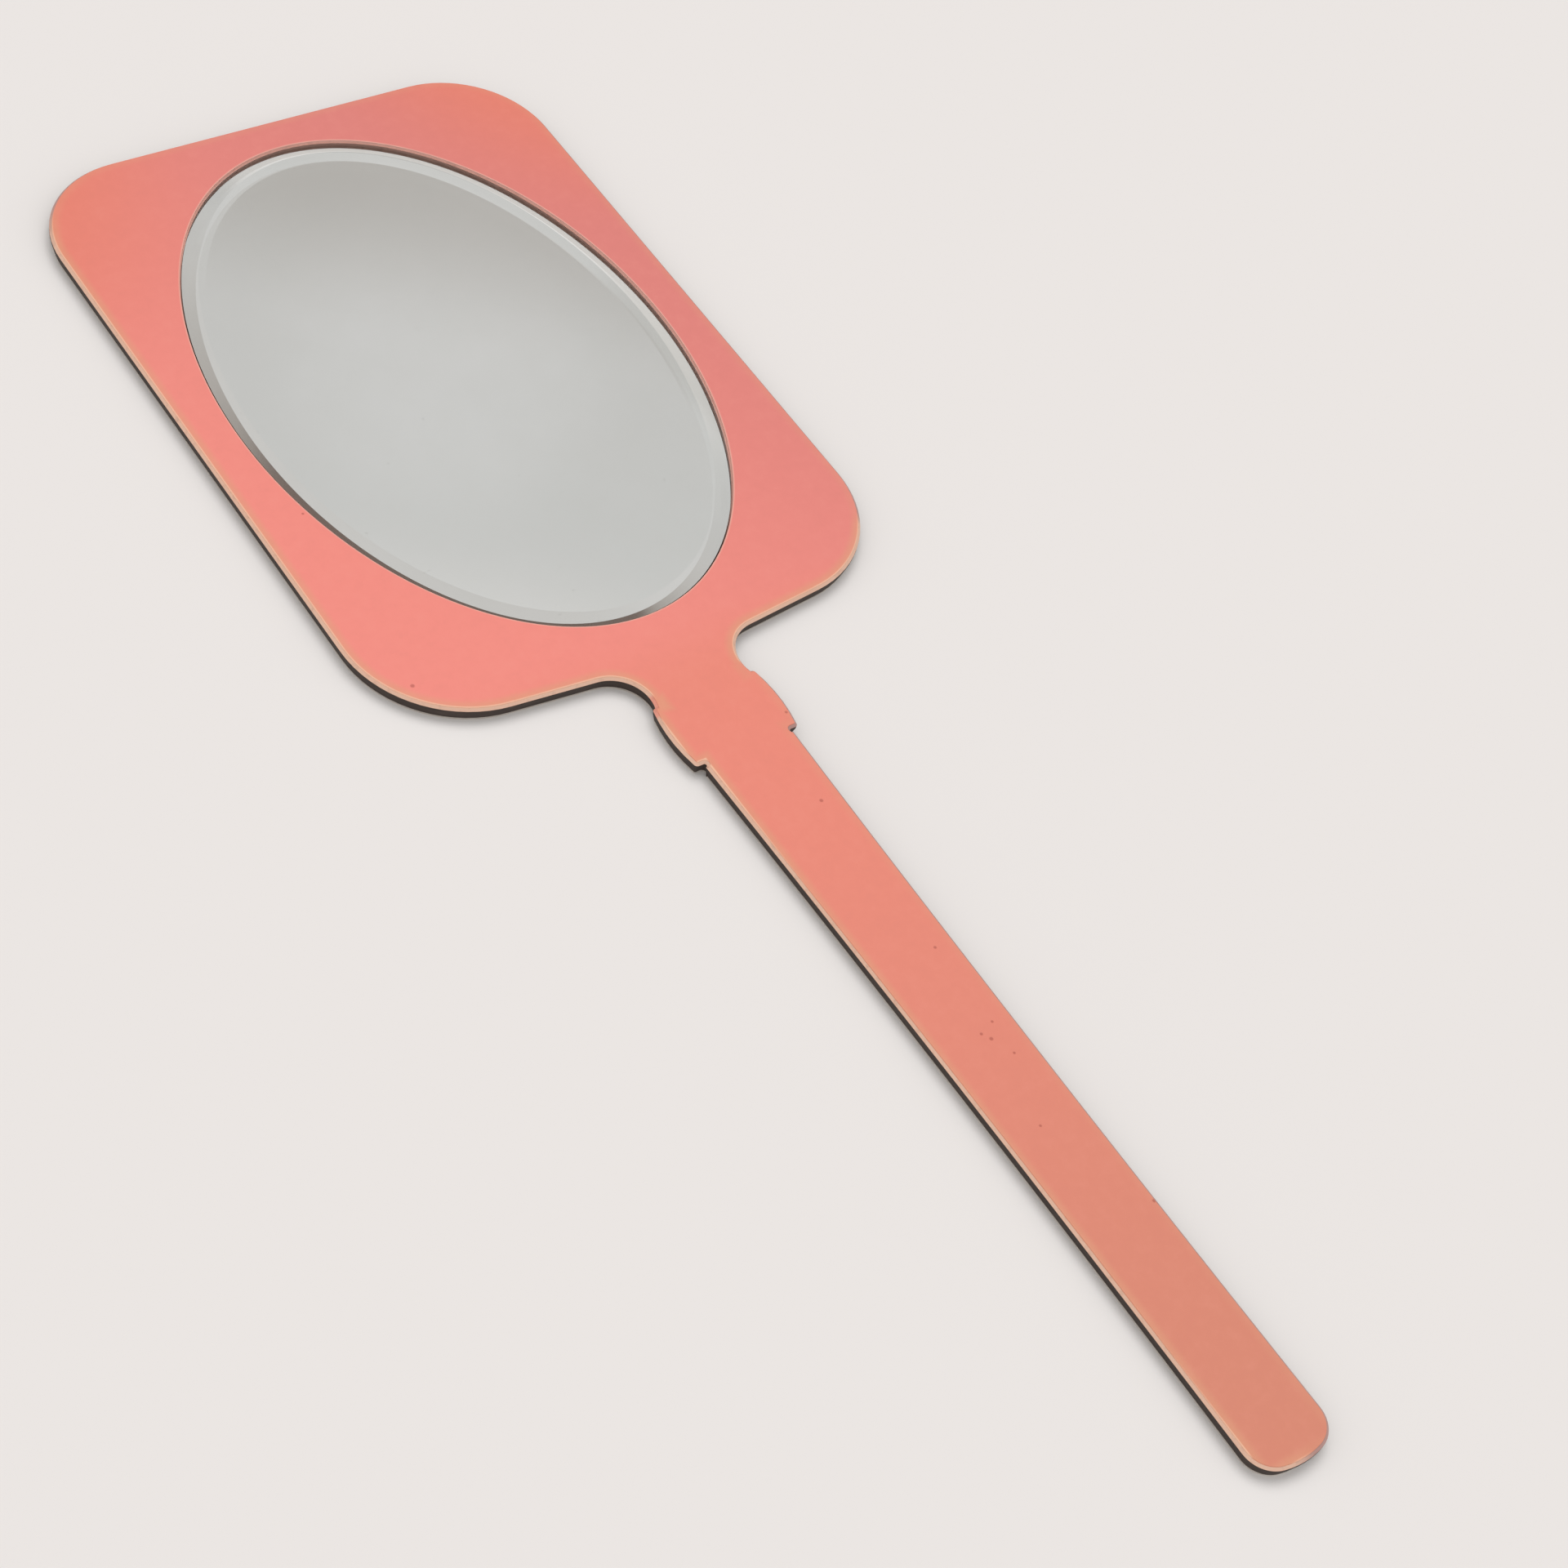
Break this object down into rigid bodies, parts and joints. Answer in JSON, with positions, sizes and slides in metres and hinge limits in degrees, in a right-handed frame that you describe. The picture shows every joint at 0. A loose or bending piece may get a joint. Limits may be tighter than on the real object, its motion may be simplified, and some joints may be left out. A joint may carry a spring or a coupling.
{
  "type": "hand mirror",
  "caption": "Flat laminated hand mirror with a rounded rectangular head, a bevelled oval glass and a long straight handle.",
  "frame": {"origin": "on the back face, under the centre of the oval glass", "axes": "+Y from the handle to the head's top edge, +X across the head, +Z out of the mirror face"},
  "size_m": [0.112, 0.3429, 0.0034],
  "materials": {
    "back": "pale grey-ivory celluloid sheet, satin",
    "core": "dark brown laminated body, sawn and filed edge",
    "ivory": "cream ivory celluloid, polished edge",
    "face": "salmon pink celluloid sheet, satin",
    "glass": "polished glass with a bevelled rim",
    "silvering": "silvered",
    "paint": "red-brown backing paint",
    "pad": "soft grey-brown card",
    "cement": "dark set cement"
  },
  "bodies": {
    "root": {"back_sheet": "back", "core_board": "core", "ivory_sheet": "ivory", "face_sheet": "face", "mirror_glass": "glass", "silver_film": "silvering", "backing_paint": "paint", "cushion_pad": "pad", "glass_cement": "cement"}
  },
  "joints": []
}
